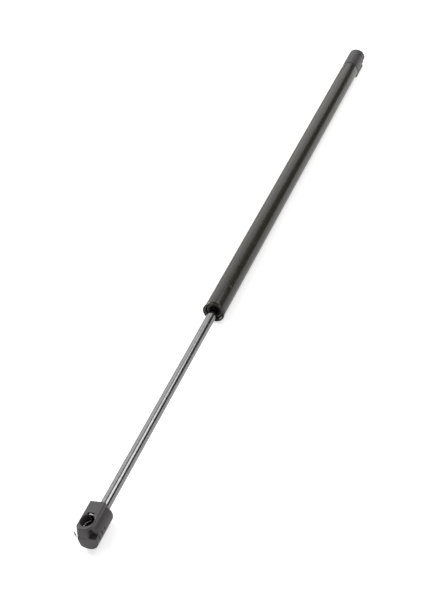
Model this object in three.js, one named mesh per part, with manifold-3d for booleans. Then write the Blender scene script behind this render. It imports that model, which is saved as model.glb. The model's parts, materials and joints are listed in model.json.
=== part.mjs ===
// A gas strut stay for a window, shutter or hatch: a black pressure tube, a polished rod and two
// moulded ball sockets, each with a wire retaining clip. It lies along X with the rod end at -X,
// fully extended, and rests on the ground plane. Units are millimetres.
import * as THREE from "three";
import { mergeVertices } from "three/addons/utils/BufferGeometryUtils.js";
import Module from "manifold-3d";

const wasm = await Module();
wasm.setup();

// ---- driving dimensions ----
const OVERALL_LENGTH = 690;
const TUBE_RADIUS = 9;
const TUBE_WALL = 1.25;
const ROD_RADIUS = 4;
const ROD_SOCKET_LENGTH = 27;
const TUBE_SOCKET_LENGTH = 30;
const EXPOSED_ROD = 217;
const BALL_RADIUS = 5;
const GAP = 0.3; // left between pieces that touch on the real strut
const SLIDE = 0.15; // clearance round the rod and round the rings in the tube
const FIT_GAP = 0.25; // clearance of the rings in their grooves and of the stack on its spigot
const ROUND_SIDES = 40; // sides of the visible turned pieces
const INNER_SIDES = 24; // sides of the pieces inside the tube and of the bores
const PAST = 1; // how far a cutting shape reaches past the surface that it cuts
const CHAMFER = 1; // at the ends of the rod and of the plug

// ---- places along the strut ----
const ROD_TIP_X = -OVERALL_LENGTH / 2;
const TUBE_TIP_X = OVERALL_LENGTH / 2;
const ROD_SOCKET_X = ROD_TIP_X + ROD_SOCKET_LENGTH; // where the rod enters its socket
const RIM_X = ROD_SOCKET_X + EXPOSED_ROD; // the tube's rolled rim round the rod
const TUBE_SOCKET_X = TUBE_TIP_X - TUBE_SOCKET_LENGTH; // where the tube meets its socket
const TUBE_END_X = TUBE_SOCKET_X - GAP;
const PAD_TOP = 9.5; // height of each socket's flat face above the axis
const AXIS_Z = PAD_TOP;

const TUBE_BORE = TUBE_RADIUS - TUBE_WALL;
const FIT_RADIUS = TUBE_BORE - GAP; // outside of the pieces that sit in the tube
const ROD_BORE = ROD_RADIUS + SLIDE; // bore of the pieces the rod slides in

// ---- rolled rim and waist that hold the rod guide in the tube, and the dimples behind them ----
const RIM_RADIUS = 9.5;
const RIM_LENGTH = 1;
const RIM_ROUND = 0.5;
const RIM_WALL = 1;
const WAIST_X = RIM_X + 1.7;
const WAIST_RADIUS = 8;
const WAIST_BORE = 7;
const WAIST_END_X = WAIST_X + 1.4;
const END_BORE = 6.6; // opening of the other end, rolled in over the plug
const END_ROUND = 1.1;
const CORNER_STEPS = 3;
const DIMPLE_X = RIM_X + 28.6;
const DIMPLE_BALL = 2;
const DIMPLE_DEPTH = 0.8;
const DIMPLE_COUNT = 4;
const DIMPLE_REACH = 4; // half the length of the wall band that takes the dimples
const FIRST_DIMPLE = THREE.MathUtils.degToRad(54);

// ---- ball socket moulding, measured from its outer tip ----
const PAD_HALF = 6.3; // half the width of the flat face round the ball mouth
const BALL_FROM_TIP = 10;
const MOUTH_RADIUS = BALL_RADIUS + 0.1;
const MOUTH_BEVEL = 0.6;
const CUP_SIDES = 28;
const CUP_RINGS = 16;
const NOSE_LENGTH = 4.8; // length of the outer end that narrows towards the flat face
const NOSE_LEAN = 0.17; // how far the end face leans back for each unit of height
const NOSE_CORNER = 0.5; // radius of the end's corner for each unit of height
const NOSE_FLOOR = 0.3; // radius of that corner below the axis
const NOSE_STEPS = 4;
const BEVEL_Y = 2.8; // where the end face meets the bevel on the plain side
const BEVEL_REACH = 8;
const LEDGE_H = 2; // height of the ledge under that bevel
const POCKET_Y = 3.4; // the hollow in the bevel, in front of the clip's plain leg
const POCKET_TOP = 7.8;
const POCKET_LENGTH = 4.4;
const SLOT_LENGTH = 4;
const ROD_SOCKET_SHOULDER = 2.4; // rounding where the rod goes in
const TUBE_SOCKET_SHOULDER = 0.8; // rounding against the tube
const SHOULDER_STEPS = 4;
const TIP_CHAMFER = 0.7;
const STUD_HOLE_RADIUS = ROD_RADIUS + GAP;
const STUD_HOLE_DEPTH = 10.5;

// ---- wire clip ----
const WIRE_RADIUS = 0.55;
const CLIP_H = LEDGE_H + GAP + WIRE_RADIUS;
const CLIP_RING = 5.3; // radius of the middle of the groove round the ball
const WIRE_RING = 5.45; // and of the wire that lies in it
const LOOP_HALF = 1.7; // half width of the loop that stands in the notch
const LOOP_TOP = 8.6;
const LOOP_T = 5.7;
const TAIL_T = 0.8 - BALL_FROM_TIP; // where the tail turns out to the side
const TAIL_END_T = 2.6 - BALL_FROM_TIP; // it then leans back and up to its end
const TAIL_END_Y = 8.8;
const TAIL_END_H = 4.6;
const LEG_END_T = 5 - BALL_FROM_TIP;
const WIRE_SIDES = 8;
const WIRE_STEPS = 56;
const CHANNEL_HALF = WIRE_RADIUS + GAP;
const NOTCH_HALF = LOOP_HALF + WIRE_RADIUS + 0.5;
const NOTCH_T = LOOP_T + WIRE_RADIUS + 0.35;
const CHANNEL_TOP = CLIP_H + CHANNEL_HALF;

// ---- shape helpers ----

// A manifold solid from a closed three.js geometry.
function solid(geometry) {
  const bare = geometry.index ? geometry.toNonIndexed() : geometry.clone();
  bare.deleteAttribute("normal");
  bare.deleteAttribute("uv");
  const merged = mergeVertices(bare, 1e-4);
  return new wasm.Manifold(
    new wasm.Mesh({
      numProp: 3,
      vertProperties: merged.attributes.position.array,
      triVerts: new Uint32Array(merged.index.array),
    }),
  );
}

// A three.js geometry from a manifold solid.
function geometryOf(made) {
  const mesh = made.getMesh();
  const position = new Float32Array(mesh.numVert * 3);
  for (let i = 0; i < mesh.numVert; i++) {
    const at = i * mesh.numProp;
    position.set(mesh.vertProperties.subarray(at, at + 3), i * 3);
  }
  const geometry = new THREE.BufferGeometry();
  geometry.setAttribute("position", new THREE.BufferAttribute(position, 3));
  geometry.setIndex(new THREE.BufferAttribute(mesh.triVerts, 1));
  const flat = geometry.toNonIndexed();
  flat.computeVertexNormals();
  return flat;
}

// A piece turned about the X axis, from its outline of [x, radius] points.
function turned(outline, sides) {
  const points = outline.map(([x, radius]) => new THREE.Vector2(radius, x));
  return new THREE.LatheGeometry(points, sides).rotateZ(-Math.PI / 2);
}

// The outline of a plain ring, going round its section.
function ringOutline(x0, x1, inner, outer) {
  return [
    [x0, inner],
    [x0, outer],
    [x1, outer],
    [x1, inner],
    [x0, inner],
  ];
}

// The outline of a ring with a rectangular groove round its outside.
function groovedOutline(x0, x1, inner, outer, groove) {
  return [
    [x0, inner],
    [x0, outer],
    [groove.x0, outer],
    [groove.x0, groove.radius],
    [groove.x1, groove.radius],
    [groove.x1, outer],
    [x1, outer],
    [x1, inner],
    [x0, inner],
  ];
}

function ring(x0, x1, inner, outer) {
  return turned(ringOutline(x0, x1, inner, outer), INNER_SIDES);
}

function oRing(x, centreRadius, sectionRadius) {
  const outline = [];
  for (let i = 0; i <= O_RING_STEPS; i++) {
    const turn = (i / O_RING_STEPS) * 2 * Math.PI;
    outline.push([
      x - sectionRadius * Math.cos(turn),
      centreRadius + sectionRadius * Math.sin(turn),
    ]);
  }
  outline[O_RING_STEPS] = outline[0];
  return turned(outline, INNER_SIDES);
}

function box(x0, x1, y0, y1, z0, z1) {
  return new THREE.BoxGeometry(x1 - x0, y1 - y0, z1 - z0).translate(
    (x0 + x1) / 2,
    (y0 + y1) / 2,
    (z0 + z1) / 2,
  );
}

// An upright round bar, or a cone if it has a second radius.
function post(x, radius, z0, z1, sides, topRadius = radius) {
  return new THREE.CylinderGeometry(topRadius, radius, z1 - z0, sides)
    .rotateX(Math.PI / 2)
    .translate(x, 0, (z0 + z1) / 2);
}

// The outline points of a rounded outer corner at x, from the end face (direction 1 or -1 is
// the way into the piece) to the outside.
function roundedCorner(x, direction, outer, radius, steps) {
  const points = [];
  for (let i = 0; i <= steps; i++) {
    const turn = ((i / steps) * Math.PI) / 2;
    points.push([
      x + direction * radius * (1 - Math.sin(turn)),
      outer - radius * (1 - Math.cos(turn)),
    ]);
  }
  return points.reverse();
}

// ---- pressure tube ----

function dimples(wall) {
  let tube = wall;
  const innerWall = solid(
    turned(
      ringOutline(
        DIMPLE_X - DIMPLE_REACH,
        DIMPLE_X + DIMPLE_REACH,
        ROD_RADIUS,
        TUBE_BORE + TUBE_WALL / 2,
      ),
      ROUND_SIDES,
    ),
  );
  for (let i = 0; i < DIMPLE_COUNT; i++) {
    const turn = FIRST_DIMPLE + (i / DIMPLE_COUNT) * 2 * Math.PI;
    const ball = (surface) => {
      const reach = surface + DIMPLE_BALL - DIMPLE_DEPTH;
      return solid(
        new THREE.SphereGeometry(DIMPLE_BALL, 10, 8).translate(
          DIMPLE_X,
          -reach * Math.sin(turn),
          reach * Math.cos(turn),
        ),
      );
    };
    tube = tube.add(ball(TUBE_BORE).intersect(innerWall));
    tube = tube.subtract(ball(TUBE_RADIUS));
  }
  return tube;
}

function pressureTube() {
  const mouth = [RIM_X, RIM_RADIUS - RIM_WALL];
  const outline = [
    mouth,
    ...roundedCorner(RIM_X, 1, RIM_RADIUS, RIM_ROUND, CORNER_STEPS),
    [RIM_X + RIM_LENGTH, RIM_RADIUS],
    [WAIST_X, WAIST_RADIUS],
    [WAIST_END_X, TUBE_RADIUS],
    ...roundedCorner(TUBE_END_X, -1, TUBE_RADIUS, END_ROUND, CORNER_STEPS).reverse(),
    [TUBE_END_X, END_BORE],
    [TUBE_END_X - TUBE_WALL, END_BORE],
    [TUBE_END_X - TUBE_WALL, TUBE_BORE],
    [WAIST_END_X, TUBE_BORE],
    [WAIST_X, WAIST_BORE],
    [RIM_X + RIM_LENGTH - RIM_WALL / 2, RIM_RADIUS - RIM_WALL],
    mouth,
  ];
  return geometryOf(dimples(solid(turned(outline, ROUND_SIDES))));
}

// ---- pieces that close the tube round the rod, in order from the rim ----
const GUIDE_X0 = WAIST_X + 1;
const GUIDE_X1 = GUIDE_X0 + 17.3;
const GUIDE_NECK = WAIST_BORE - GAP;
const GUIDE_CONE = 1; // length of the cone behind the guide's neck
const WIPER_DEPTH = 2.2;
const WIPER_RADIUS = 5.3;
const WIPER_LIP = 0.6;
const GUIDE_O_RING_X = GUIDE_X1 - 5;
const SLEEVE_LENGTH = 9;
const SLEEVE_WALL = 0.8;
const SLEEVE_RADIUS = ROD_BORE + SLEEVE_WALL;
const SLEEVE_X0 = GUIDE_X1 - SLEEVE_LENGTH;
const O_RING_STEPS = 8; // sides of an O ring's section
const O_RING_SECTION = 0.85;
const O_RING_CENTRE = TUBE_BORE - SLIDE - O_RING_SECTION;
const O_RING_SEAT = O_RING_CENTRE - O_RING_SECTION - SLIDE;
const O_RING_HALF_SEAT = O_RING_SECTION + FIT_GAP;
const SEAL_LENGTH = 5;
const SEAL_HEEL = 0.4; // room between the seal's heel and the rod
const SEAL_CUP = 2.6;
const SEAL_LIP = 0.9;
const SEAL_X0 = GUIDE_X1 + GAP;
const SEAL_X1 = SEAL_X0 + SEAL_LENGTH;
const SUPPORT_X0 = SEAL_X1 + GAP;
const WASHER = 1.2; // thickness of the steel washers
const SUPPORT_X1 = SUPPORT_X0 + WASHER;

function rodGuide() {
  const wiperSeat = WIPER_RADIUS + GAP;
  const neckEnd = WAIST_END_X + GAP;
  return turned(
    [
      [GUIDE_X0, wiperSeat],
      [GUIDE_X0, GUIDE_NECK],
      [neckEnd, GUIDE_NECK],
      [neckEnd + GUIDE_CONE, FIT_RADIUS],
      [GUIDE_O_RING_X - O_RING_HALF_SEAT, FIT_RADIUS],
      [GUIDE_O_RING_X - O_RING_HALF_SEAT, O_RING_SEAT],
      [GUIDE_O_RING_X + O_RING_HALF_SEAT, O_RING_SEAT],
      [GUIDE_O_RING_X + O_RING_HALF_SEAT, FIT_RADIUS],
      [GUIDE_X1, FIT_RADIUS],
      [GUIDE_X1, SLEEVE_RADIUS + GAP],
      [SLEEVE_X0 - GAP, SLEEVE_RADIUS + GAP],
      [SLEEVE_X0 - GAP, ROD_BORE],
      [GUIDE_X0 + WIPER_DEPTH + GAP, ROD_BORE],
      [GUIDE_X0 + WIPER_DEPTH + GAP, wiperSeat],
      [GUIDE_X0, wiperSeat],
    ],
    INNER_SIDES,
  );
}

function rodWiper() {
  return turned(
    [
      [GUIDE_X0 + WIPER_LIP, ROD_BORE],
      [GUIDE_X0, ROD_BORE + WIPER_LIP],
      [GUIDE_X0, WIPER_RADIUS],
      [GUIDE_X0 + WIPER_DEPTH, WIPER_RADIUS],
      [GUIDE_X0 + WIPER_DEPTH, ROD_BORE],
      [GUIDE_X0 + WIPER_LIP, ROD_BORE],
    ],
    INNER_SIDES,
  );
}

// A cup seal: two lips, open towards the gas.
function rodSeal() {
  const heel = ROD_BORE + SEAL_HEEL;
  return turned(
    [
      [SEAL_X0, heel],
      [SEAL_X0, FIT_RADIUS],
      [SEAL_X1, FIT_RADIUS],
      [SEAL_X1, FIT_RADIUS - SEAL_LIP],
      [SEAL_X1 - SEAL_CUP, (FIT_RADIUS + ROD_BORE) / 2],
      [SEAL_X1, ROD_BORE + SEAL_LIP],
      [SEAL_X1, ROD_BORE],
      [SEAL_X0, heel],
    ],
    INNER_SIDES,
  );
}

// ---- piston stack on the inner end of the rod, in order from the rod guide ----
const BUMPER_X0 = SUPPORT_X1 + GAP;
const BUMPER_X1 = BUMPER_X0 + 4;
const BUMPER_RADIUS = 6.1;
const SPIGOT_RADIUS = 2.9;
const STACK_BORE = SPIGOT_RADIUS + FIT_GAP;
const STACK_RADIUS = FIT_RADIUS - 0.6; // outside of the washer and the disc beside the piston
const WASHER_X0 = BUMPER_X1 + GAP;
const WASHER_X1 = WASHER_X0 + WASHER;
const PISTON_X0 = WASHER_X1 + GAP;
const PISTON_X1 = PISTON_X0 + 8;
const RING_X0 = PISTON_X0 + 2.8;
const RING_X1 = RING_X0 + 2.2;
const RING_SEAT = 5.7;
const LABYRINTH_X0 = PISTON_X1 + GAP;
const LABYRINTH_X1 = LABYRINTH_X0 + 1;
const BACK_WASHER_X0 = LABYRINTH_X1 + GAP;
const BACK_WASHER_X1 = BACK_WASHER_X0 + WASHER;
const BACK_WASHER_RADIUS = 6;
const RIVET_X0 = BACK_WASHER_X1 + GAP;
const RIVET_HEAD = 1.6;
const RIVET_RADIUS = 4.3;
const PASSAGE_RADIUS = 0.6;
const PASSAGE_AT = 4.3; // from the axis
const DISC_SLOT = { inner: 3.7, outer: 5.2, half: 2 };

// The polished rod: a threaded end in the socket, and a spigot riveted over the piston stack.
function pistonRod() {
  const threadEnd = ROD_SOCKET_X - STUD_HOLE_DEPTH + GAP;
  return turned(
    [
      [threadEnd, 0],
      [threadEnd, ROD_RADIUS - CHAMFER],
      [threadEnd + CHAMFER, ROD_RADIUS],
      [WASHER_X0 - GAP / 2, ROD_RADIUS],
      [WASHER_X0 - GAP / 2, SPIGOT_RADIUS],
      [RIVET_X0, SPIGOT_RADIUS],
      [RIVET_X0, RIVET_RADIUS],
      [RIVET_X0 + RIVET_HEAD / 2, RIVET_RADIUS],
      [RIVET_X0 + RIVET_HEAD, SPIGOT_RADIUS],
      [RIVET_X0 + RIVET_HEAD, 0],
    ],
    ROUND_SIDES,
  );
}

// The piston, with the two gas passages that let it move through the tube.
function piston() {
  const groove = { x0: RING_X0 - GAP, x1: RING_X1 + GAP, radius: RING_SEAT };
  let made = solid(
    turned(groovedOutline(PISTON_X0, PISTON_X1, STACK_BORE, FIT_RADIUS, groove), INNER_SIDES),
  );
  for (const side of [-1, 1]) {
    const length = PISTON_X1 - PISTON_X0 + 2 * PAST;
    const passage = new THREE.CylinderGeometry(PASSAGE_RADIUS, PASSAGE_RADIUS, length, 8)
      .rotateZ(Math.PI / 2)
      .translate((PISTON_X0 + PISTON_X1) / 2, side * PASSAGE_AT, 0);
    made = made.subtract(solid(passage));
  }
  return geometryOf(made);
}

// The flow disc behind the piston, with a slot for the gas.
function labyrinthDisc() {
  const disc = solid(ring(LABYRINTH_X0, LABYRINTH_X1, STACK_BORE, STACK_RADIUS));
  const { inner, outer, half } = DISC_SLOT;
  const slot = box(LABYRINTH_X0 - PAST, LABYRINTH_X1 + PAST, inner, outer, -half, half);
  return geometryOf(disc.subtract(solid(slot)));
}

function backWasher() {
  return ring(BACK_WASHER_X0, BACK_WASHER_X1, STACK_BORE, BACK_WASHER_RADIUS);
}

// ---- plug with a threaded stud that closes the other end of the tube ----
const PLUG_X1 = TUBE_END_X - TUBE_WALL - GAP;
const PLUG_LENGTH = 9;
const PLUG_X0 = PLUG_X1 - PLUG_LENGTH;
const PLUG_O_RING_X = (PLUG_X0 + PLUG_X1) / 2;
const STUD_END_X = TUBE_SOCKET_X + STUD_HOLE_DEPTH - GAP;

function basePlug() {
  return turned(
    [
      [PLUG_X0, 0],
      [PLUG_X0, FIT_RADIUS - CHAMFER],
      [PLUG_X0 + CHAMFER, FIT_RADIUS],
      [PLUG_O_RING_X - O_RING_HALF_SEAT, FIT_RADIUS],
      [PLUG_O_RING_X - O_RING_HALF_SEAT, O_RING_SEAT],
      [PLUG_O_RING_X + O_RING_HALF_SEAT, O_RING_SEAT],
      [PLUG_O_RING_X + O_RING_HALF_SEAT, FIT_RADIUS],
      [PLUG_X1, FIT_RADIUS],
      [PLUG_X1, ROD_RADIUS],
      [STUD_END_X - CHAMFER, ROD_RADIUS],
      [STUD_END_X, ROD_RADIUS - CHAMFER],
      [STUD_END_X, 0],
    ],
    INNER_SIDES,
  );
}

// ---- ball socket, with its outer tip at x = 0, the strut going off along +X and the mouth up ----

function socketBarrel(length, shoulder) {
  const outline = [
    [0, 0],
    [0, TUBE_RADIUS - TIP_CHAMFER],
    [TIP_CHAMFER, TUBE_RADIUS],
    ...roundedCorner(length, -1, TUBE_RADIUS, shoulder, SHOULDER_STEPS).reverse(),
    [length, 0],
  ];
  return solid(turned(outline, ROUND_SIDES));
}

// The end face's setback at a height.
function leanAt(h) {
  return NOSE_LEAN * Math.max(h, 0);
}

// What is kept of the outer end: its face leans back, and its corner on the tail's side widens
// towards the flat face.
function noseKept(far) {
  const points = [];
  for (const h of [-far, 0, NOSE_FLOOR / NOSE_CORNER, NOSE_LENGTH / NOSE_CORNER]) {
    const lean = leanAt(h);
    const radius = Math.max(NOSE_CORNER * h, NOSE_FLOOR);
    points.push([lean, -far, h], [NOSE_LENGTH + PAST, -far, h], [NOSE_LENGTH + PAST, PAD_HALF, h]);
    for (let i = 0; i <= NOSE_STEPS; i++) {
      const turn = ((i / NOSE_STEPS) * Math.PI) / 2;
      const t = lean + radius * (1 - Math.cos(turn));
      points.push([t, PAD_HALF - radius * (1 - Math.sin(turn)), h]);
    }
  }
  return wasm.Manifold.hull(points);
}

// What the bevel takes from the plain side of the outer end, above the ledge.
function bevelCut(far) {
  const points = [];
  for (const h of [LEDGE_H, far]) {
    const start = BEVEL_Y - leanAt(h);
    points.push([-PAST, PAST - start, h], [-PAST, -far, h]);
    points.push([BEVEL_REACH, -start - BEVEL_REACH, h], [BEVEL_REACH, -far, h]);
  }
  return wasm.Manifold.hull(points);
}

function socketBody(length, shoulder) {
  const far = PAD_TOP + 2 * PAST;
  const x = BALL_FROM_TIP;
  const pad = solid(box(0, length, -PAD_HALF, PAD_HALF, 0, PAD_TOP));
  const end = solid(box(-PAST, NOSE_LENGTH, -far, far, -far, far));
  let made = socketBarrel(length, shoulder).add(pad);
  made = made.subtract(end.subtract(noseKept(far))).subtract(bevelCut(far));

  // The cup for the ball stud, its bevelled mouth, and the groove that the clip sits in.
  const cup = new THREE.SphereGeometry(MOUTH_RADIUS, CUP_SIDES, CUP_RINGS);
  const mouth = MOUTH_RADIUS + MOUTH_BEVEL;
  const cuts = [
    cup.rotateX(Math.PI / 2).translate(x, 0, 0),
    post(x, MOUTH_RADIUS, 0, far, CUP_SIDES),
    post(x, MOUTH_RADIUS, PAD_TOP - MOUTH_BEVEL, PAD_TOP + PAST, CUP_SIDES, mouth + PAST),
    post(x, CLIP_RING + CHANNEL_HALF, LEDGE_H, CHANNEL_TOP, CUP_SIDES),
  ];

  // Channels for the clip's two legs, slots where they come out, and the notch for its loop.
  for (const side of [-1, 1]) {
    const leg = side * CLIP_RING;
    const low = Math.min(leg, side * far);
    const high = Math.max(leg, side * far);
    cuts.push(box(-PAST, x, leg - CHANNEL_HALF, leg + CHANNEL_HALF, LEDGE_H, CHANNEL_TOP));
    cuts.push(box(-PAST, SLOT_LENGTH, low, high, LEDGE_H, CHANNEL_TOP));
  }
  cuts.push(box(-PAST, POCKET_LENGTH, -far, -POCKET_Y, LEDGE_H, POCKET_TOP));
  cuts.push(box(x, x + NOTCH_T, -NOTCH_HALF, NOTCH_HALF, LEDGE_H, far));

  // The blind hole for the threaded end.
  cuts.push(ring(length - STUD_HOLE_DEPTH, length + PAST, 0, STUD_HOLE_RADIUS));
  for (const shape of cuts) made = made.subtract(solid(shape));
  return geometryOf(made);
}

// Half of the clip's centre line, from the middle of its loop to the start of its leg.
function clipHalf(side) {
  const ringTurn = Math.asin(LOOP_HALF / WIRE_RING);
  const points = [
    new THREE.Vector3(LOOP_T, 0, LOOP_TOP),
    new THREE.Vector3(LOOP_T - 0.05, side * (LOOP_HALF - 0.7), LOOP_TOP - 0.05),
    new THREE.Vector3(LOOP_T - 0.2, side * LOOP_HALF, LOOP_TOP - 1),
    new THREE.Vector3(LOOP_T - 0.6, side * LOOP_HALF, (LOOP_TOP + CLIP_H) / 2),
    new THREE.Vector3(WIRE_RING * Math.cos(ringTurn) + 0.1, side * (LOOP_HALF + 0.05), CLIP_H + 1),
  ];
  const turns = [0.72, 0.98, 1.24, Math.PI / 2];
  for (const turn of turns) {
    const across = side * WIRE_RING * Math.sin(turn);
    points.push(new THREE.Vector3(WIRE_RING * Math.cos(turn), across, CLIP_H));
  }
  return points;
}

// The wire clip, with its ring round the ball's centre: a loop up through the notch, a leg along
// each side of the ball, and one leg turned out to the side as a tail.
function socketClip() {
  const plainLeg = [-2, -3.5, LEG_END_T].map((t) => new THREE.Vector3(t, -WIRE_RING, CLIP_H));
  const tailLeg = [
    new THREE.Vector3(-3, WIRE_RING, CLIP_H),
    new THREE.Vector3(TAIL_T + 1.6, WIRE_RING, CLIP_H),
    new THREE.Vector3(TAIL_T + 0.25, WIRE_RING + 0.3, CLIP_H),
    new THREE.Vector3(TAIL_T, WIRE_RING + 1, CLIP_H),
    new THREE.Vector3(TAIL_T + 0.4, WIRE_RING + 1.7, CLIP_H + 0.2),
    new THREE.Vector3(TAIL_END_T, TAIL_END_Y, TAIL_END_H),
  ];
  const route = [
    ...plainLeg.reverse(),
    ...clipHalf(-1).reverse(),
    ...clipHalf(1).slice(1),
    ...tailLeg,
  ];
  const curve = new THREE.CatmullRomCurve3(route, false, "centripetal");
  const section = new THREE.Shape();
  for (let i = 0; i < WIRE_SIDES; i++) {
    const turn = (i / WIRE_SIDES) * 2 * Math.PI;
    const x = WIRE_RADIUS * Math.cos(turn);
    const y = WIRE_RADIUS * Math.sin(turn);
    if (i === 0) section.moveTo(x, y);
    else section.lineTo(x, y);
  }
  const sweep = { steps: WIRE_STEPS, extrudePath: curve, curveSegments: 1 };
  const wire = new THREE.ExtrudeGeometry(section, sweep);
  return wire.translate(BALL_FROM_TIP, 0, 0);
}

// ---- materials ----
const PAINT = { color: 0x181614, roughness: 0.28, metalness: 0 };
const POLISHED = { color: 0x8b8c8e, roughness: 0.14, metalness: 1 };
const STEEL = { color: 0x8e9092, roughness: 0.4, metalness: 1 };
const SPRING_WIRE = { color: 0xc4c6c8, roughness: 0.22, metalness: 1 };
const NYLON = { color: 0x2b2826, roughness: 0.42, metalness: 0 };
const BEARING_PLASTIC = { color: 0x3a3a3c, roughness: 0.5, metalness: 0 };
const BRONZE = { color: 0x9a7a4c, roughness: 0.45, metalness: 1 };
const RUBBER = { color: 0x121212, roughness: 0.75, metalness: 0 };
const SINTERED = { color: 0x6f6a63, roughness: 0.6, metalness: 1 };

function piece(name, geometry, finish) {
  const mesh = new THREE.Mesh(geometry, new THREE.MeshStandardMaterial(finish));
  mesh.name = name;
  return mesh;
}

// ---- assembly ----
const strut = new THREE.Group();

const along = new THREE.Group();
along.position.z = AXIS_Z;
along.add(
  piece("pressure_tube", pressureTube(), PAINT),
  piece("rod_guide_bush", rodGuide(), BEARING_PLASTIC),
  piece("guide_bearing_sleeve", ring(SLEEVE_X0, GUIDE_X1, ROD_BORE, SLEEVE_RADIUS), BRONZE),
  piece("rod_dust_wiper", rodWiper(), RUBBER),
  piece("guide_o_ring", oRing(GUIDE_O_RING_X, O_RING_CENTRE, O_RING_SECTION), RUBBER),
  piece("rod_lip_seal", rodSeal(), RUBBER),
  piece("seal_support_washer", ring(SUPPORT_X0, SUPPORT_X1, ROD_BORE, FIT_RADIUS), STEEL),
  piece("piston_rod", pistonRod(), POLISHED),
  piece("extension_bumper", ring(BUMPER_X0, BUMPER_X1, ROD_BORE, BUMPER_RADIUS), RUBBER),
  piece("piston_front_washer", ring(WASHER_X0, WASHER_X1, STACK_BORE, STACK_RADIUS), STEEL),
  piece("piston_body", piston(), SINTERED),
  piece("piston_ring", ring(RING_X0, RING_X1, RING_SEAT + FIT_GAP, TUBE_BORE - SLIDE), RUBBER),
  piece("labyrinth_disc", labyrinthDisc(), STEEL),
  piece("piston_back_washer", backWasher(), STEEL),
  piece("base_plug_stud", basePlug(), STEEL),
  piece("base_plug_o_ring", oRing(PLUG_O_RING_X, O_RING_CENTRE, O_RING_SECTION), RUBBER),
);

const rodEnd = new THREE.Group();
rodEnd.position.set(ROD_TIP_X, 0, AXIS_Z);
rodEnd.add(
  piece("rod_end_socket", socketBody(ROD_SOCKET_LENGTH, ROD_SOCKET_SHOULDER), NYLON),
  piece("rod_end_clip", socketClip(), SPRING_WIRE),
);

// The tube's socket is turned over, so the two mouths face opposite ways.
const tubeEnd = new THREE.Group();
tubeEnd.position.set(TUBE_TIP_X, 0, AXIS_Z);
tubeEnd.rotation.y = Math.PI;
tubeEnd.add(
  piece("tube_end_socket", socketBody(TUBE_SOCKET_LENGTH, TUBE_SOCKET_SHOULDER), NYLON),
  piece("tube_end_clip", socketClip(), SPRING_WIRE),
);

strut.add(along, rodEnd, tubeEnd);

export default strut;
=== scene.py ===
"""Looks of the gas strut stay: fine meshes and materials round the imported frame, on a pale studio floor."""

import json
import math

import bpy
import numpy as np
from mathutils import Matrix, Vector


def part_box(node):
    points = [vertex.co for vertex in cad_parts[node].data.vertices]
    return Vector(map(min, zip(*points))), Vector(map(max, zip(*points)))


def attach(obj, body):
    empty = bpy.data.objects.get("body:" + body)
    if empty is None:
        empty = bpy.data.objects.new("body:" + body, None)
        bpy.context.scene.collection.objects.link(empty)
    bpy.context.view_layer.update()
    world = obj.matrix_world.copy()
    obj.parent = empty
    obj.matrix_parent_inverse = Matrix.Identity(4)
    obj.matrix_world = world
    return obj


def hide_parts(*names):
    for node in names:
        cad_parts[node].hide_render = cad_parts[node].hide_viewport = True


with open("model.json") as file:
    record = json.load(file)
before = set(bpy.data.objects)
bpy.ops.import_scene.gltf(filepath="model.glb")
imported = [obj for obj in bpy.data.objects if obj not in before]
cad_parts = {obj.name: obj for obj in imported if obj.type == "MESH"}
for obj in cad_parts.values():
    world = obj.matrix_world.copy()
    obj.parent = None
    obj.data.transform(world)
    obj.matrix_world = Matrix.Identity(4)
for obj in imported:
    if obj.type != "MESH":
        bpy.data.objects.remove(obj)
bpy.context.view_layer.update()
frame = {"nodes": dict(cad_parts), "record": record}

MM = 0.001
GAP = 0.3 * MM  # left between pieces that touch on the real strut
SLIDE = 0.15 * MM  # clearance round the rod where it slides
PAST = 1 * MM  # how far a cut runs past the surface it opens

# ---- places and sizes, from the frame ----
TUBE_LOW, TUBE_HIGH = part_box("pressure_tube")
ROD_LOW, ROD_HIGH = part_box("piston_rod")
ROD_SOCKET_LOW, ROD_SOCKET_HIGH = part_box("rod_end_socket")
TUBE_SOCKET_LOW, TUBE_SOCKET_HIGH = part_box("tube_end_socket")
GUIDE_LOW, GUIDE_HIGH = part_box("rod_guide_bush")
WIPER_LOW, WIPER_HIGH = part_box("rod_dust_wiper")
SLEEVE_LOW, SLEEVE_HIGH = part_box("guide_bearing_sleeve")
GUIDE_RING_LOW, GUIDE_RING_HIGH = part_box("guide_o_ring")
WASHER_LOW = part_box("piston_front_washer")[0]
CLIP_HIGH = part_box("rod_end_clip")[1]
CUP_LOW, CUP_HIGH = frame["record"]["physics"]["openings"][0]["box_m"]  # the rod socket's ball cup

AXIS_Z = (TUBE_LOW.z + TUBE_HIGH.z) / 2
TUBE_RADIUS = 9 * MM
TUBE_WALL = 1.25 * MM
TUBE_BORE = TUBE_RADIUS - TUBE_WALL
ROD_RADIUS = 4 * MM
ROD_BORE = ROD_RADIUS + SLIDE
THIN_ROUND = 0.1 * MM  # rounding of the mouths of the wiper and the guide
SMALL_ROUND = 0.2 * MM  # rounding of the other small turned edges

# ---- rolled rim, waist and dimples of the tube; the other end is rolled in over the plug ----
RIM_X = TUBE_LOW.x
RIM_RADIUS = 9.5 * MM
RIM_LENGTH = 1 * MM
RIM_ROUND = 0.5 * MM
RIM_WALL = 1 * MM
WAIST_X = RIM_X + 1.7 * MM
WAIST_RADIUS = 8 * MM
WAIST_BORE = 7 * MM
WAIST_END_X = WAIST_X + 1.4 * MM
WAIST_ROUND = 3 * MM  # where the waist runs out into the barrel
WAIST_FOOT_ROUND = 0.3 * MM
WAIST_INSIDE_ROUND = 0.5 * MM
BORE_START_ROUND = 0.3 * MM  # inside, behind the waist
END_ROUND = 1.1 * MM
END_BORE = 6.6 * MM
DIMPLE_X = RIM_X + 28.6 * MM
DIMPLE_RADIUS = 1.9 * MM
DIMPLE_DEPTH = 0.8 * MM
DIMPLE_COUNT = 4
DIMPLE_START = 54  # degrees round the strut from straight up
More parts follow.
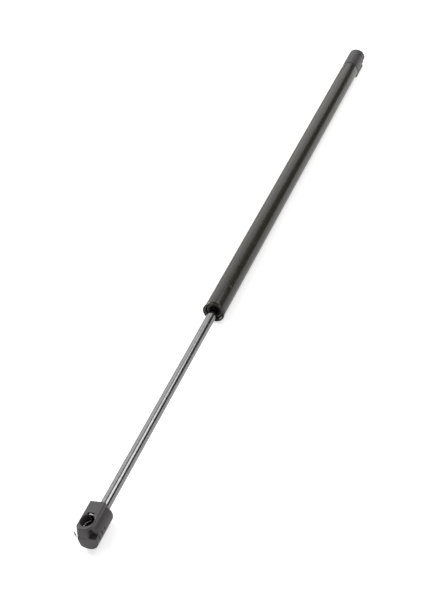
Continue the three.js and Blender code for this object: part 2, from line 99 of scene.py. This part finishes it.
DIMPLE_TURNS = [math.radians(DIMPLE_START + 360 // DIMPLE_COUNT * i) for i in range(DIMPLE_COUNT)]

# ---- inner end of the rod: a spigot through the piston stack, riveted over behind it ----
ROD_CHAMFER = 1 * MM
SPIGOT_RADIUS = 2.9 * MM
RIVET_HEAD = 1.6 * MM
RIVET_RADIUS = 4.3 * MM

# ---- guide and wiper in the mouth of the tube ----
GUIDE_CONE = 1 * MM  # length of the slope from the neck out to the full radius
RING_SPACE = 0.25 * MM  # beside the O ring in its groove
RING_SEAT = 5.75 * MM  # radius of that groove's floor
WIPER_LIP = 0.6 * MM

# ---- moulded socket, measured from its outer tip ----
BALL_FROM_TIP = (CUP_LOW[0] + CUP_HIGH[0]) / 2 - ROD_SOCKET_LOW.x
PAD_HALF = 6.3 * MM
PAD_TOP = 9.5 * MM
PAD_EDGE = 0.6 * MM
CUP_RADIUS = 5.1 * MM
CUP_EDGE = 0.9 * MM
NOSE_LENGTH = 4.8 * MM
NOSE_LEAN = 0.17  # how far the nose leans back for each unit of height
NOSE_CORNER = 0.5  # how fast the rounding of the nose's corner grows with height
NOSE_BEVEL_Y = 2.8 * MM
LEDGE_H = 2 * MM
SCOOP = 2 * MM  # fillet between the bevelled corner and the ledge under it
POCKET_Y = 3.4 * MM  # the hollow in the bevelled corner starts here
POCKET_TOP = 7.8 * MM
POCKET_LENGTH = 4.4 * MM
CHANNEL_TOP = 3.7 * MM
CHANNEL_HALF = 0.85 * MM
SLOT_LENGTH = 4 * MM
NOTCH_HALF = 2.75 * MM
NOTCH_LENGTH = 6.6 * MM
TIP_EDGE = 0.7 * MM
ROD_SOCKET_SHOULDER = 2.4 * MM
TUBE_SOCKET_SHOULDER = 0.8 * MM
STUD_HOLE = ROD_RADIUS + GAP
STUD_HOLE_DEPTH = 10.5 * MM
SIDE_MARKS = [4.2 * MM, 8.4 * MM, 12.6 * MM]  # small slots sunk into each side
MARK_HALF = 0.4 * MM
MARK_LOW = -1.6 * MM
MARK_HIGH = 1.2 * MM
MARK_SINK = 0.7 * MM
EDGE = 0.3 * MM  # rounding of the moulding's sharp edges
CUT_EDGE = EDGE / 2

# ---- wire clip, measured from the ball's centre ----
WIRE_RADIUS = 0.55 * MM
WIRE_RING = 5.45 * MM  # radius of its centre line round the ball
CLIP_H = LEDGE_H + CHANNEL_HALF
CLIP_RING = 5.3 * MM  # middle of the channels that its legs lie in
RING_TURN = math.radians(30)  # from the strut's axis, where the wire leaves the ring for its loop
LOOP_HALF = 1.7 * MM
LOOP_TOP = CLIP_HIGH.z - AXIS_Z - WIRE_RADIUS
LOOP_T = 5.7 * MM
TAIL_T = 0.7 * MM - BALL_FROM_TIP
TAIL_TURN_Y = 6.9 * MM
TAIL_END_T = 2.6 * MM - BALL_FROM_TIP
TAIL_END_Y = 8.8 * MM
TAIL_END_H = 4.6 * MM
LEG_END_T = 5 * MM - BALL_FROM_TIP
FOOT_BEND = WIRE_RADIUS * 1.4
LOOP_BEND = LOOP_HALF * 0.8
TAIL_BEND = WIRE_RADIUS * 1.6

# ---- fineness ----
ROUND = 240  # sides of the turned pieces
CORNER_STEPS = 6  # sides of a rounded corner
NEARLY_STRAIGHT = math.radians(88)  # a corner is left alone where half its angle is wider than this
TURNED_SHARP = 40  # degrees between two faces that show as an edge
WIRE_SHARP = 50
WIRE_STEPS = 14  # sides of a bend in the wire
WIRE_FINENESS = 6  # Blender's bevel resolution of the wire
DIMPLE_STATIONS = 21  # rings of vertices through the dimples
BARREL_STATIONS = 12  # along the rest of the barrel, and along the rod
CELL = 0.25 * MM  # grid step of the moulded pieces
NET_MARGIN = 2.5 * CELL  # of the grid round the piece
SETTLE_ROUNDS = 3
SETTLE_REACH = 0.4 * CELL  # furthest that a vertex moves in one round
SLOPE_STEP = CELL / 10
LEAST_STEEP = 0.25  # smallest squared slope that a move is worked out with
TINY = 1e-12  # stands in for a length of 0


# ---- mesh helpers ----
def new_object(name, data):
    made = bpy.data.objects.new(name, data)
    bpy.context.scene.collection.objects.link(made)
    return made


def shade(mesh, sharp_angle):
    mesh.shade_smooth()
    if sharp_angle:
        mesh.set_sharp_from_angle(angle=math.radians(sharp_angle))


def new_piece(name, vertices, faces, sharp_angle=None):
    mesh = bpy.data.meshes.new(name)
    mesh.from_pydata([tuple(v) for v in vertices], [], [tuple(f) for f in faces])
    mesh.update()
    shade(mesh, sharp_angle)
    return new_object(name, mesh)


def rounded(corners, radii, steps=CORNER_STEPS, closed=False):
    """The corners of a flat or a spatial line, each rounded to an arc of its own radius."""
    points = [np.array(c, float) for c in corners]
    line = []
    for i, here in enumerate(points):
        if not closed and i in (0, len(points) - 1):
            line.append(here)
            continue
        back = points[i - 1] - here
        ahead = points[(i + 1) % len(points)] - here
        room = min(np.linalg.norm(back), np.linalg.norm(ahead))
        back = back / np.linalg.norm(back)
        ahead = ahead / np.linalg.norm(ahead)
        half = math.acos(max(-1, min(1, float(back @ ahead)))) / 2
        if radii[i] <= 0 or half > NEARLY_STRAIGHT:
            line.append(here)
            continue
        cut = min(radii[i] / math.tan(half), room)
        radius = cut * math.tan(half)
        inward = (back + ahead) / np.linalg.norm(back + ahead)
        across = (ahead - back) / np.linalg.norm(ahead - back)
        centre = here + inward * radius / math.sin(half)
        sweep = math.pi / 2 - half
        for k in range(steps + 1):
            turn = sweep * (2 * k / steps - 1)
            line.append(centre - inward * radius * math.cos(turn) + across * radius * math.sin(turn))
    return line


def rounded_outline(corners):
    """A closed outline from (x, radius, rounding) corners."""
    return rounded([c[:2] for c in corners], [c[2] for c in corners], closed=True)


def spun(outline):
    """The vertices of an (x, radius) outline turned about the strut, one ring for each point."""
    angles = np.arange(ROUND) * 2 * math.pi / ROUND
    return [(x, -r * math.sin(a), AXIS_Z + r * math.cos(a)) for x, r in outline for a in angles]


def band(first, second):
    """The quads between two rings of vertices, given by their place in the outline."""
    low = first * ROUND
    high = second * ROUND
    return [(low + k, low + (k + 1) % ROUND, high + (k + 1) % ROUND, high + k) for k in range(ROUND)]


def turned(name, outline):
    """A piece with a bore, from a closed outline that runs forward along its outside."""
    faces = []
    for i in range(len(outline)):
        faces += band(i, (i + 1) % len(outline))
    return new_piece(name, spun(outline), faces, TURNED_SHARP)


def solid_turned(name, outline):
    """A piece with no bore: its outline starts and ends on flat end faces."""
    last = len(outline) - 1
    faces = [tuple(reversed(range(ROUND)))]
    for i in range(last):
        faces += band(i, i + 1)
    faces.append(tuple(range(last * ROUND, len(outline) * ROUND)))
    return new_piece(name, spun(outline), faces, TURNED_SHARP)


# ---- distance fields: how far a point lies outside a shape, below 0 inside it ----
def meet(a, b, radius):
    """What both shapes hold, with the edge between them rounded."""
    u = np.maximum(radius + a, 0)
    v = np.maximum(radius + b, 0)
    return np.minimum(-radius, np.maximum(a, b)) + np.hypot(u, v)


def join(a, b, radius):
    """Both shapes together, with a fillet between them."""
    return -meet(-a, -b, radius)


def carve(a, b, radius):
    """The first shape without the second, with the edge rounded."""
    return meet(a, -b, radius)


def between(value, low, high):
    """The slab from low to high."""
    return np.maximum(low - value, value - high)


def brick(t, y, h, low, high):
    """A box from its lowest corner to its highest."""
    sides = np.maximum(between(t, low[0], high[0]), between(y, low[1], high[1]))
    return np.maximum(sides, between(h, low[2], high[2]))


def socket_outside(t, y, h, length, shoulder):
    """The moulding's outer form: a round barrel with a flat-topped pad, and a nose that narrows upward."""
    barrel = meet(meet(np.hypot(y, h) - TUBE_RADIUS, -t, TIP_EDGE), t - length, shoulder)
    pad = meet(np.abs(y) - PAD_HALF, h - PAD_TOP, PAD_EDGE)
    pad = meet(pad, np.maximum(-h, t - length), EDGE)
    body = join(barrel, meet(pad, -t, EDGE), EDGE)
    lean = NOSE_LEAN * np.maximum(h, 0)
    corner = np.clip(NOSE_CORNER * h, EDGE, NOSE_LENGTH)
    tail_side = meet(y - PAD_HALF, lean - t, corner)
    body = meet(body, join(tail_side, NOSE_LENGTH - t, EDGE), EDGE)
    bevel = (-y - NOSE_BEVEL_Y - t + lean) / math.sqrt(2)
    return meet(body, join(bevel, h - LEDGE_H, SCOOP), EDGE)


def socket_cuts(t, y, h):
    """The channels for the clip's legs, the side slots, the hollow in one corner, and the loop's notch."""
    side = np.abs(y)
    outer = TUBE_RADIUS + PAST
    channel_low = (-PAST, CLIP_RING - CHANNEL_HALF, LEDGE_H)
    channel_high = (BALL_FROM_TIP, CLIP_RING + CHANNEL_HALF, CHANNEL_TOP)
    channel = brick(t, side, h, channel_low, channel_high)
    slot = brick(t, side, h, (-PAST, CLIP_RING, LEDGE_H), (SLOT_LENGTH, outer, CHANNEL_TOP))
    pocket = brick(t, -y, h, (-PAST, POCKET_Y, LEDGE_H), (POCKET_LENGTH, outer, POCKET_TOP))
    notch_low = (BALL_FROM_TIP, -PAST, LEDGE_H)
    notch_high = (BALL_FROM_TIP + NOTCH_LENGTH, NOTCH_HALF, PAD_TOP + PAST)
    notch = brick(t, side, h, notch_low, notch_high)
    return np.minimum(np.minimum(channel, slot), np.minimum(pocket, notch))


def socket_field(t, y, h, length, shoulder):
    """The ball socket: t runs from its outer tip along the strut, and h out of its mouth."""
    body = socket_outside(t, y, h, length, shoulder)
    from_ball = np.hypot(t - BALL_FROM_TIP, y)
    cup = np.where(h > 0, from_ball, np.hypot(from_ball, h)) - CUP_RADIUS
    body = carve(body, cup, CUP_EDGE)
    clip_groove = np.maximum(from_ball - CLIP_RING - CHANNEL_HALF, between(h, LEDGE_H, CHANNEL_TOP))
    body = np.maximum(body, -clip_groove)
    body = carve(body, socket_cuts(t, y, h), CUT_EDGE)
    for place in SIDE_MARKS:
        low = (place - MARK_HALF, TUBE_RADIUS - MARK_SINK, MARK_LOW)
        high = (place + MARK_HALF, TUBE_RADIUS + PAST, MARK_HIGH)
        body = carve(body, brick(t, np.abs(y), h, low, high), CUT_EDGE)
    hole = np.maximum(np.hypot(y, h) - STUD_HOLE, length - STUD_HOLE_DEPTH - t)
    return carve(body, hole, EDGE)


def net(field, low, high):
    """Vertices and quads on a field's zero surface, with a vertex in each grid cell that it crosses."""
    axes = [np.arange(a - NET_MARGIN, b + NET_MARGIN, CELL) for a, b in zip(low, high)]
    values = field(*np.meshgrid(*axes, indexing="ij"))
    cells = [n - 1 for n in values.shape]
    total = np.zeros((math.prod(cells), 3))
    hits = np.zeros(math.prod(cells))
    rings = []
    for axis in range(3):
        across = [i for i in range(3) if i != axis]
        first = np.take(values, range(values.shape[axis] - 1), axis)
        second = np.take(values, range(1, values.shape[axis]), axis)
        crossed = np.argwhere((first < 0) != (second < 0))
        a = first[tuple(crossed.T)]
        b = second[tuple(crossed.T)]
        point = crossed.astype(float)
        point[:, axis] += a / (a - b)
        ring = []
        for step in ((0, 0), (1, 0), (1, 1), (0, 1)):
            cell = crossed.copy()
            cell[:, across] -= step
            flat = np.ravel_multi_index(cell.T, cells)
            np.add.at(total, flat, point)
            np.add.at(hits, flat, 1)
            ring.append(flat)
        ring = np.stack(ring, 1)
        inside_out = (a < 0) == (axis == 1)
        ring[inside_out] = ring[inside_out][:, ::-1]
        rings.append(ring)
    used = np.flatnonzero(hits)
    number = np.zeros(len(hits), int)
    number[used] = np.arange(len(used))
    vertices = total[used] / hits[used][:, None] * CELL + [a[0] for a in axes]
    return settle(field, vertices), number[np.concatenate(rings)].tolist()


def settle(field, vertices):
    """Moves each vertex onto the field's zero surface."""
    steps = SLOPE_STEP * np.eye(3)
    for _ in range(SETTLE_ROUNDS):
        rises = [field(*(vertices + s).T) - field(*(vertices - s).T) for s in steps]
        slope = np.stack(rises, 1) / (2 * SLOPE_STEP)
        steep = np.maximum((slope * slope).sum(1), LEAST_STEEP)
        move = -slope * (field(*vertices.T) / steep)[:, None]
        length = np.linalg.norm(move, axis=1)[:, None]
        vertices = vertices + move * np.minimum(1, SETTLE_REACH / np.maximum(length, TINY))
    return vertices


# ---- the two ends: socket coordinates to the frame ----
def at_rod_end(points):
    """Tip at the rod's end, mouth up."""
    return np.array(points) + [ROD_SOCKET_LOW.x, 0, AXIS_Z]


def at_tube_end(points):
    """Tip at the tube's end, turned over so the mouth faces down."""
    return np.array(points) * [-1, 1, -1] + [TUBE_SOCKET_HIGH.x, 0, AXIS_Z]


def socket(name, length, shoulder, place):
    def field(t, y, h):
        return socket_field(t, y, h, length, shoulder)

    low = (0, -TUBE_RADIUS, -TUBE_RADIUS)
    high = (length, TUBE_RADIUS, PAD_TOP)
    vertices, faces = net(field, low, high)
    return new_piece(name, place(vertices), faces)


def clip_route():
    """The wire's centre line: a plain leg, round the ball to a loop in the notch, and back to a tail."""
    half = (math.pi / 2 - RING_TURN) / 2
    reach = WIRE_RING / math.cos(half)
    outer = (reach * math.cos(RING_TURN + half), reach * math.sin(RING_TURN + half))
    past = (WIRE_RING * math.sin(RING_TURN) - LOOP_HALF) / math.cos(RING_TURN)
    foot = WIRE_RING * math.cos(RING_TURN) + past * math.sin(RING_TURN)
    half_route = [
        (outer[0], outer[1], CLIP_H),
        (foot, LOOP_HALF, CLIP_H),
        (LOOP_T, LOOP_HALF, LOOP_TOP),
    ]
    half_radii = [WIRE_RING, FOOT_BEND, LOOP_BEND]
    tail = [
        (TAIL_T, WIRE_RING, CLIP_H),
        (TAIL_T, TAIL_TURN_Y, CLIP_H),
        (TAIL_END_T, TAIL_END_Y, TAIL_END_H),
    ]
    mirrored = [(t, -y, h) for t, y, h in half_route]
    route = [(LEG_END_T, -WIRE_RING, CLIP_H)] + mirrored + half_route[::-1] + tail
    radii = [0] + half_radii + half_radii[::-1] + [TAIL_BEND, TAIL_BEND, 0]
    return np.array(rounded(route, radii, steps=WIRE_STEPS)) + [BALL_FROM_TIP, 0, 0]


def wire_clip(name, place):
    route = place(clip_route())
    curve = bpy.data.curves.new(name + "_route", "CURVE")
    curve.dimensions = "3D"
    line = curve.splines.new("POLY")
    line.points.add(len(route) - 1)
    for point, at in zip(line.points, route):
        point.co = (*at, 1)
    curve.bevel_depth = WIRE_RADIUS
    curve.bevel_resolution = WIRE_FINENESS
    curve.use_fill_caps = True
    sweep = new_object(name + "_sweep", curve)
    evaluated = sweep.evaluated_get(bpy.context.evaluated_depsgraph_get())
    mesh = bpy.data.meshes.new_from_object(evaluated)
    bpy.data.objects.remove(sweep)
    shade(mesh, WIRE_SHARP)
    return new_object(name, mesh)


# ---- tube, rod and the ring round the rod ----
def dent(vertices):
    """Presses the dimples into the tube's wall."""
    for turn in DIMPLE_TURNS:
        around = np.arctan2(-vertices[:, 1], vertices[:, 2] - AXIS_Z) - turn
        around = (around + math.pi) % (2 * math.pi) - math.pi
        away = np.hypot(vertices[:, 0] - DIMPLE_X, around * TUBE_RADIUS)
        bowl = DIMPLE_DEPTH * np.cos(away / DIMPLE_RADIUS * math.pi / 2) ** 2
        drop = np.where(away < DIMPLE_RADIUS, bowl, 0)
        out = vertices - [0, 0, AXIS_Z]
        radius = np.hypot(out[:, 1], out[:, 2])
        out[:, 1:] *= (1 - drop / radius)[:, None]
        vertices = out + [0, 0, AXIS_Z]
    return vertices


def tube_shell():
    """The rolled rim, the waist, the barrel with its dimples, and the end rolled in over the plug."""
    end = TUBE_HIGH.x
    dimple_xs = np.linspace(DIMPLE_X - DIMPLE_RADIUS, DIMPLE_X + DIMPLE_RADIUS, DIMPLE_STATIONS)
    barrel_xs = np.linspace(DIMPLE_X, end, BARREL_STATIONS)[1:-1]
    outside = [
        (RIM_X, RIM_RADIUS - RIM_WALL, SMALL_ROUND),
        (RIM_X, RIM_RADIUS, RIM_ROUND),
        (RIM_X + RIM_LENGTH, RIM_RADIUS, RIM_ROUND),
        (WAIST_X, WAIST_RADIUS, WAIST_FOOT_ROUND),
        (WAIST_END_X, TUBE_RADIUS, WAIST_ROUND),
        *[(x, TUBE_RADIUS, 0) for x in [*dimple_xs, *barrel_xs]],
        (end, TUBE_RADIUS, END_ROUND),
        (end, END_BORE, 0),
    ]
    inside = [
        (end - TUBE_WALL, END_BORE, 0),
        (end - TUBE_WALL, TUBE_BORE, 0),
        (WAIST_END_X, TUBE_BORE, BORE_START_ROUND),
        (WAIST_X, WAIST_BORE, WAIST_INSIDE_ROUND),
        (RIM_X + RIM_LENGTH - RIM_WALL / 2, RIM_RADIUS - RIM_WALL, WAIST_INSIDE_ROUND),
    ]
    shell = turned("tube_shell", rounded_outline(outside + inside))
    vertices = np.array([v.co for v in shell.data.vertices])
    shell.data.vertices.foreach_set("co", dent(vertices).ravel())
    shell.data.update()
    return shell


def polished_rod():
    """Chamfered where it screws into its socket, plain as far as the piston stack, and riveted behind it."""
    start = ROD_LOW.x
    head = ROD_HIGH.x - RIVET_HEAD
    shoulder = WASHER_LOW.x - GAP / 2
    outline = [
        (start, ROD_RADIUS - ROD_CHAMFER),
        (start + ROD_CHAMFER, ROD_RADIUS),
        *[(x, ROD_RADIUS) for x in np.linspace(start, shoulder, BARREL_STATIONS)[1:-1]],
        (shoulder, ROD_RADIUS),
        (shoulder, SPIGOT_RADIUS),
        (head, SPIGOT_RADIUS),
        (head, RIVET_RADIUS),
        (head + RIVET_HEAD / 2, RIVET_RADIUS),
        (head + RIVET_HEAD, SPIGOT_RADIUS),
    ]
    return solid_turned("polished_rod", outline)


def guide_bush():
    """The guide's neck fills the tube's waist, with seats for the wiper, the O ring and the sleeve."""
    front = GUIDE_LOW.x
    back = GUIDE_HIGH.x
    outer = GUIDE_HIGH.y
    neck = WAIST_BORE - GAP
    neck_end = WAIST_END_X + GAP
    wiper_seat = WIPER_HIGH.y + GAP
    wiper_floor = WIPER_HIGH.x + GAP
    ring_start = GUIDE_RING_LOW.x - RING_SPACE
    ring_end = GUIDE_RING_HIGH.x + RING_SPACE
    sleeve_start = SLEEVE_LOW.x - GAP
    sleeve_seat = SLEEVE_HIGH.y + GAP
    outline = [
        (front, wiper_seat, THIN_ROUND),
        (front, neck, SMALL_ROUND),
        (neck_end, neck, 0),
        (neck_end + GUIDE_CONE, outer, 0),
        (ring_start, outer, 0),
        (ring_start, RING_SEAT, 0),
        (ring_end, RING_SEAT, 0),
        (ring_end, outer, 0),
        (back, outer, 0),
        (back, sleeve_seat, 0),
        (sleeve_start, sleeve_seat, 0),
        (sleeve_start, ROD_BORE, 0),
        (wiper_floor, ROD_BORE, 0),
        (wiper_floor, wiper_seat, 0),
    ]
    return turned("guide_bush", rounded_outline(outline))


def dust_wiper():
    front = WIPER_LOW.x
    back = WIPER_HIGH.x
    outer = WIPER_HIGH.y
    outline = [
        (front + WIPER_LIP, ROD_BORE, THIN_ROUND),
        (front, ROD_BORE + WIPER_LIP, SMALL_ROUND),
        (front, outer, SMALL_ROUND),
        (back, outer, 0),
        (back, ROD_BORE, 0),
    ]
    return turned("dust_wiper", rounded_outline(outline))


# ---- materials ----
SPECULAR_LEVEL = 0.4
COLOUR_PATCH = 6 * MM  # size of the patches of darker and lighter colour
GLOSS_PATCH = 3 * MM  # and of duller and glossier surface
PATCH_DETAIL = 4
GRAIN_DETAIL = 3
NOISE_LOW = 0.3  # most of the noise lies between these two
NOISE_HIGH = 0.7


def principled(name, metallic, roughness):
    material = bpy.data.materials.new(name)
    material.use_nodes = True
    shader = material.node_tree.nodes["Principled BSDF"]
    shader.inputs["Metallic"].default_value = metallic
    shader.inputs["Roughness"].default_value = roughness
    return material, shader


def noise(material, size, detail, stretch):
    """Noise with features of about the given size, longer along an axis where its stretch is over 1."""
    nodes = material.node_tree.nodes
    links = material.node_tree.links
    place = nodes.new("ShaderNodeTexCoord")
    scale = nodes.new("ShaderNodeMapping")
    scale.inputs["Scale"].default_value = [1 / s for s in stretch]
    texture = nodes.new("ShaderNodeTexNoise")
    texture.inputs["Scale"].default_value = 1 / size
    texture.inputs["Detail"].default_value = detail
    links.new(place.outputs["Object"], scale.inputs["Vector"])
    links.new(scale.outputs["Vector"], texture.inputs["Vector"])
    return texture.outputs["Fac"]


def vary_colour(material, shader, factor, dark, light):
    ramp = material.node_tree.nodes.new("ShaderNodeValToRGB")
    ramp.color_ramp.elements[0].position = NOISE_LOW
    ramp.color_ramp.elements[0].color = (*dark, 1)
    ramp.color_ramp.elements[1].position = NOISE_HIGH
    ramp.color_ramp.elements[1].color = (*light, 1)
    material.node_tree.links.new(factor, ramp.inputs["Fac"])
    material.node_tree.links.new(ramp.outputs["Color"], shader.inputs["Base Color"])


def vary_roughness(material, shader, factor, low, high):
    spread = material.node_tree.nodes.new("ShaderNodeMapRange")
    spread.inputs["From Min"].default_value = NOISE_LOW
    spread.inputs["From Max"].default_value = NOISE_HIGH
    spread.inputs["To Min"].default_value = low
    spread.inputs["To Max"].default_value = high
    material.node_tree.links.new(factor, spread.inputs["Value"])
    material.node_tree.links.new(spread.outputs["Result"], shader.inputs["Roughness"])


def roughen(material, shader, height, depth):
    """A bump whose hills stand about the given depth above its valleys."""
    bump = material.node_tree.nodes.new("ShaderNodeBump")
    bump.inputs["Strength"].default_value = 1
    bump.inputs["Distance"].default_value = depth
    material.node_tree.links.new(height, bump.inputs["Height"])
    material.node_tree.links.new(bump.outputs["Normal"], shader.inputs["Normal"])


def varied(name, dark, light, metallic, rough, grain, depth, stretch=(1, 1, 1)):
    """A material whose colour and roughness wander, with a fine grain in its surface."""
    material, shader = principled(name, metallic, rough[0])
    shader.inputs["Specular IOR Level"].default_value = SPECULAR_LEVEL
    vary_colour(material, shader, noise(material, COLOUR_PATCH, PATCH_DETAIL, stretch), dark, light)
    vary_roughness(material, shader, noise(material, GLOSS_PATCH, PATCH_DETAIL, stretch), *rough)
    roughen(material, shader, noise(material, grain, GRAIN_DETAIL, stretch), depth)
    return material


TUBE_PAINT = varied(
    "tube_paint",
    dark=(0.019, 0.0165, 0.0095),
    light=(0.024, 0.021, 0.012),
    metallic=0,
    rough=(0.2, 0.27),
    grain=1.2 * MM,
    depth=0.004 * MM,
)
ROD_METAL = varied(
    "rod_metal",
    dark=(0.18, 0.18, 0.185),
    light=(0.22, 0.22, 0.22),
    metallic=1,
    rough=(0.12, 0.18),
    grain=0.4 * MM,
    depth=0.0008 * MM,
    stretch=(0.4, 3, 3),
)
NYLON = varied(
    "socket_nylon",
    dark=(0.040, 0.036, 0.0365),
    light=(0.052, 0.047, 0.0475),
    metallic=0,
    rough=(0.40, 0.50),
    grain=0.35 * MM,
    depth=0.008 * MM,
)
SPRING_WIRE = varied(
    "spring_wire",
    dark=(0.80, 0.78, 0.78),
    light=(0.90, 0.88, 0.88),
    metallic=1,
    rough=(0.4, 0.5),
    grain=0.2 * MM,
    depth=0.001 * MM,
    stretch=(5, 1, 1),
)
BEARING_PLASTIC = varied(
    "bearing_plastic",
    dark=(0.045, 0.045, 0.047),
    light=(0.06, 0.06, 0.062),
    metallic=0,
    rough=(0.4, 0.55),
    grain=0.3 * MM,
    depth=0.006 * MM,
)
RUBBER = varied(
    "seal_rubber",
    dark=(0.010, 0.010, 0.010),
    light=(0.018, 0.018, 0.018),
    metallic=0,
    rough=(0.6, 0.75),
    grain=0.25 * MM,
    depth=0.008 * MM,
)
BRONZE = varied(
    "sleeve_bronze",
    dark=(0.42, 0.27, 0.11),
    light=(0.52, 0.34, 0.15),
    metallic=1,
    rough=(0.35, 0.5),
    grain=0.3 * MM,
    depth=0.003 * MM,
)
ZINC_STEEL = varied(
    "zinc_steel",
    dark=(0.48, 0.49, 0.50),
    light=(0.60, 0.60, 0.60),
    metallic=1,
    rough=(0.3, 0.45),
    grain=0.4 * MM,
    depth=0.003 * MM,
)
SINTER = varied(
    "piston_sinter",
    dark=(0.16, 0.15, 0.14),
    light=(0.24, 0.23, 0.21),
    metallic=1,
    rough=(0.5, 0.65),
    grain=0.2 * MM,
    depth=0.008 * MM,
)


# ---- pieces on their bodies ----
def dress(piece, body, material, node):
    piece.data.materials.clear()
    piece.data.materials.append(material)
    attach(piece, body)
    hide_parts(node)


rod_socket_length = ROD_SOCKET_HIGH.x - ROD_SOCKET_LOW.x
tube_socket_length = TUBE_SOCKET_HIGH.x - TUBE_SOCKET_LOW.x
rod_socket = socket("rod_socket", rod_socket_length, ROD_SOCKET_SHOULDER, at_rod_end)
tube_socket = socket("tube_socket", tube_socket_length, TUBE_SOCKET_SHOULDER, at_tube_end)
dress(tube_shell(), "cylinder", TUBE_PAINT, "pressure_tube")
dress(polished_rod(), "rod", ROD_METAL, "piston_rod")
dress(rod_socket, "rod", NYLON, "rod_end_socket")
dress(tube_socket, "cylinder", NYLON, "tube_end_socket")
dress(wire_clip("rod_clip_wire", at_rod_end), "rod_clip", SPRING_WIRE, "rod_end_clip")
dress(wire_clip("tube_clip_wire", at_tube_end), "tube_clip", SPRING_WIRE, "tube_end_clip")
dress(dust_wiper(), "cylinder", RUBBER, "rod_dust_wiper")
dress(guide_bush(), "cylinder", BEARING_PLASTIC, "rod_guide_bush")

INNER_MATERIALS = {
    "guide_bearing_sleeve": BRONZE,
    "guide_o_ring": RUBBER,
    "rod_lip_seal": RUBBER,
    "seal_support_washer": ZINC_STEEL,
    "extension_bumper": RUBBER,
    "piston_front_washer": ZINC_STEEL,
    "piston_body": SINTER,
    "piston_ring": BEARING_PLASTIC,
    "labyrinth_disc": ZINC_STEEL,
    "piston_back_washer": ZINC_STEEL,
    "base_plug_stud": ZINC_STEEL,
    "base_plug_o_ring": RUBBER,
}
for node, material in INNER_MATERIALS.items():
    for material_slot in frame["nodes"][node].material_slots:
        material_slot.material = material


# ---- studio: metres and degrees, and a panel's radiance in watts per square metre and steradian ----
CAMERA_AT = Vector((-0.7494, -0.4190, 0.5458))
CAMERA_LOOK = Vector((0.6983, 0.4422, -0.5629))
CAMERA_UP = Vector((0.6239, 0.0098, 0.7815))
LENS_MM = 68.3
SENSOR_MM = 36
CAMERA_NEAREST = 0.01
FLOOR_HALF = 6
FLOOR_WHITE = 0.9
FLOOR_ROUGHNESS = 0.9
FLOOR_GLOW = 0.55
WORLD_LIGHT = 0.15
PANELS = {
    "wide_panel": {
        "centre": (2.26, 1.70, 1.2),
        "size": (3.2, 4.4),
        "tilt": 0,
        "turn": -29,
        "radiance": 1.65,
    },
    "small_panel": {
        "centre": (0.7, -0.9, 1.2),
        "size": (0.8, 1.2),
        "tilt": 0,
        "turn": 0,
        "radiance": 3.6,
    },
    "side_panel": {
        "centre": (-0.25, 4, 0.8),
        "size": (4.5, 1.6),
        "tilt": -90,
        "turn": 0,
        "radiance": 4,
    },
    "fill_panel": {
        "centre": (-0.45, -0.7, 0.35),
        "size": (0.4, 0.4),
        "tilt": 64,
        "turn": -10,
        "radiance": 3,
    },
    "edge_panel": {
        "centre": (0.2, 1.17, 0.88),
        "size": (0.25, 0.25),
        "tilt": -53,
        "turn": -14,
        "radiance": 40,
    },
}


def studio_floor():
    corners = [(-FLOOR_HALF, -FLOOR_HALF, 0), (FLOOR_HALF, -FLOOR_HALF, 0)]
    corners += [(FLOOR_HALF, FLOOR_HALF, 0), (-FLOOR_HALF, FLOOR_HALF, 0)]
    floor = new_piece("studio_floor", corners, [(0, 1, 2, 3)])
    material, shader = principled("floor_paper", 0, FLOOR_ROUGHNESS)
    shader.inputs["Base Color"].default_value = (FLOOR_WHITE, FLOOR_WHITE, FLOOR_WHITE, 1)
    shader.inputs["Emission Color"].default_value = (1, 1, 1, 1)
    shader.inputs["Emission Strength"].default_value = FLOOR_GLOW
    floor.data.materials.append(material)


def panel(name, centre, size, tilt, turn, radiance):
    """A flat lamp that faces straight down at no tilt and sideways at a tilt of a quarter turn."""
    lamp = bpy.data.lights.new(name, "AREA")
    lamp.shape = "RECTANGLE"
    lamp.size, lamp.size_y = size
    lamp.energy = radiance * math.pi * size[0] * size[1]
    holder = new_object(name, lamp)
    holder.location = centre
    holder.rotation_euler = (math.radians(tilt), 0, math.radians(turn))


def studio_light():
    world = bpy.data.worlds.new("studio")
    world.use_nodes = True
    background = world.node_tree.nodes["Background"]
    background.inputs["Color"].default_value = (1, 1, 1, 1)
    background.inputs["Strength"].default_value = WORLD_LIGHT
    bpy.context.scene.world = world
    for name, place in PANELS.items():
        panel(name, **place)


def studio_camera():
    data = bpy.data.cameras.new("camera")
    data.sensor_width = SENSOR_MM
    data.lens = LENS_MM
    data.clip_start = CAMERA_NEAREST
    holder = new_object("camera", data)
    right = CAMERA_LOOK.cross(CAMERA_UP).normalized()
    up = right.cross(CAMERA_LOOK).normalized()
    turn = Matrix((right, up, -CAMERA_LOOK.normalized())).transposed()
    holder.matrix_world = Matrix.LocRotScale(CAMERA_AT, turn.to_quaternion(), None)
    bpy.context.scene.camera = holder


studio_floor()
studio_light()
studio_camera()
bpy.context.scene.view_settings.view_transform = "Standard"
